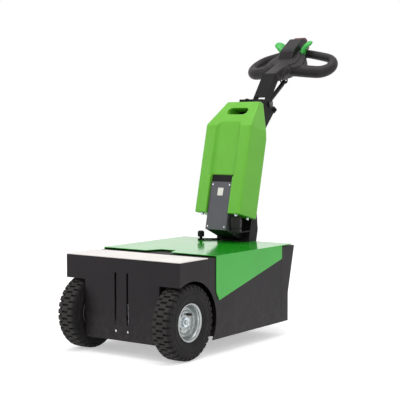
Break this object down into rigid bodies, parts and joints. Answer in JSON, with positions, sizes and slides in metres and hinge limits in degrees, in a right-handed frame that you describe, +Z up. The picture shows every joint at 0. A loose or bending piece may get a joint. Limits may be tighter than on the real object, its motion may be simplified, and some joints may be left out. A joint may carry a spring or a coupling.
{
  "type": "walk-behind electric tug",
  "caption": "Walk-behind electric tug: low two-wheel drive chassis with slotted coupling face, rear castor, leaning battery column and a tilting ring-handled tiller.",
  "frame": {"origin": "on the floor, in the middle of the whole machine's length and width", "axes": "+X forward, out of the coupling face; +Y to the machine's left; +Z up"},
  "size_m": [1.2738, 0.5016, 1.1564],
  "materials": {
    "black_paint": "satin powder coat",
    "light_plate": "pale brushed plate",
    "hood_green": "gloss powder coat",
    "zinc": "bright zinc plate",
    "cast_housing": "plain",
    "ballast_iron": "plain",
    "cover_grey": "satin",
    "battery_green": "fine texture",
    "black_plastic": "fine texture",
    "tyre": "matte",
    "castor_tread": "matte",
    "castor_hub": "matte",
    "switch_red": "satin",
    "lever_green": "satin",
    "rod_steel": "polished"
  },
  "bodies": {
    "chassis": {"front_plate": "black_paint", "coupling_bar": "zinc", "front_top_plate": "light_plate", "ear_side_left": "black_paint", "ear_side_right": "black_paint", "side_sheet_left": "black_paint", "side_sheet_right": "black_paint", "wheel_well_left": "black_paint", "wheel_well_right": "black_paint", "rear_shell": "black_paint", "deck_plate": "black_paint", "hood": "hood_green", "transaxle": "cast_housing", "drive_motor": "cast_housing", "ballast_block": "ballast_iron", "castor_beam": "black_paint", "castor_plate": "zinc", "column": "black_paint", "column_foot": "black_paint", "column_cap": "black_paint", "pivot_bracket": "black_paint", "controller_box": "black_paint", "controller_cover": "cover_grey", "battery_pack": "battery_green", "signal_horn": "black_plastic", "release_knob": "black_plastic"},
    "wheel_left": {"tyre_left": "tyre", "rim_left": "zinc", "axle_left": "zinc"},
    "wheel_right": {"tyre_right": "tyre", "rim_right": "zinc", "axle_right": "zinc"},
    "castor_fork": {"castor_fork": "zinc"},
    "castor_wheel": {"castor_tyre": "castor_tread", "castor_core": "castor_hub"},
    "tiller": {"tiller_arm": "black_paint", "tiller_head": "black_plastic", "handle_ring": "black_plastic", "belly_switch": "switch_red", "thumb_lever_left": "lever_green", "thumb_lever_right": "lever_green"},
    "spring_cylinder": {"spring_cylinder": "black_paint"},
    "spring_rod": {"spring_rod": "rod_steel"}
  },
  "joints": [
    {"name": "wheel_left_spin", "type": "hinge", "parent": "chassis", "child": "wheel_left", "pos_m": [0.5068, 0, 0.13], "axis": [0, 1, 0], "continuous": true},
    {"name": "wheel_right_spin", "type": "hinge", "parent": "chassis", "child": "wheel_right", "pos_m": [0.5068, 0, 0.13], "axis": [0, 1, 0], "continuous": true},
    {"name": "castor_swivel", "type": "hinge", "parent": "chassis", "child": "castor_fork", "pos_m": [0.0178, 0, 0.15], "axis": [0, 0, 1], "continuous": true},
    {"name": "castor_spin", "type": "hinge", "parent": "castor_fork", "child": "castor_wheel", "pos_m": [-0.0272, 0, 0.0625], "axis": [0, 1, 0], "continuous": true},
    {"name": "tiller_tilt", "type": "hinge", "parent": "chassis", "child": "tiller", "pos_m": [-0.2782, 0, 0.871], "axis": [0, -1, 0], "range_deg": [0, 40]},
    {"name": "spring_swing", "type": "hinge", "parent": "tiller", "child": "spring_cylinder", "pos_m": [-0.4742, 0, 0.966], "axis": [0, -1, 0], "range_deg": [0, 4.98]},
    {"name": "spring_slide", "type": "slide", "parent": "spring_cylinder", "child": "spring_rod", "axis": [-0.8164, 0, 0.5775], "range_m": [0, 0.02094]}
  ],
  "couplings": [
    {"joint": "spring_swing", "follows": "tiller_tilt", "ratio": 0.12214},
    {"joint": "spring_slide", "follows": "tiller_tilt", "m_per_rad": 0.029404}
  ]
}
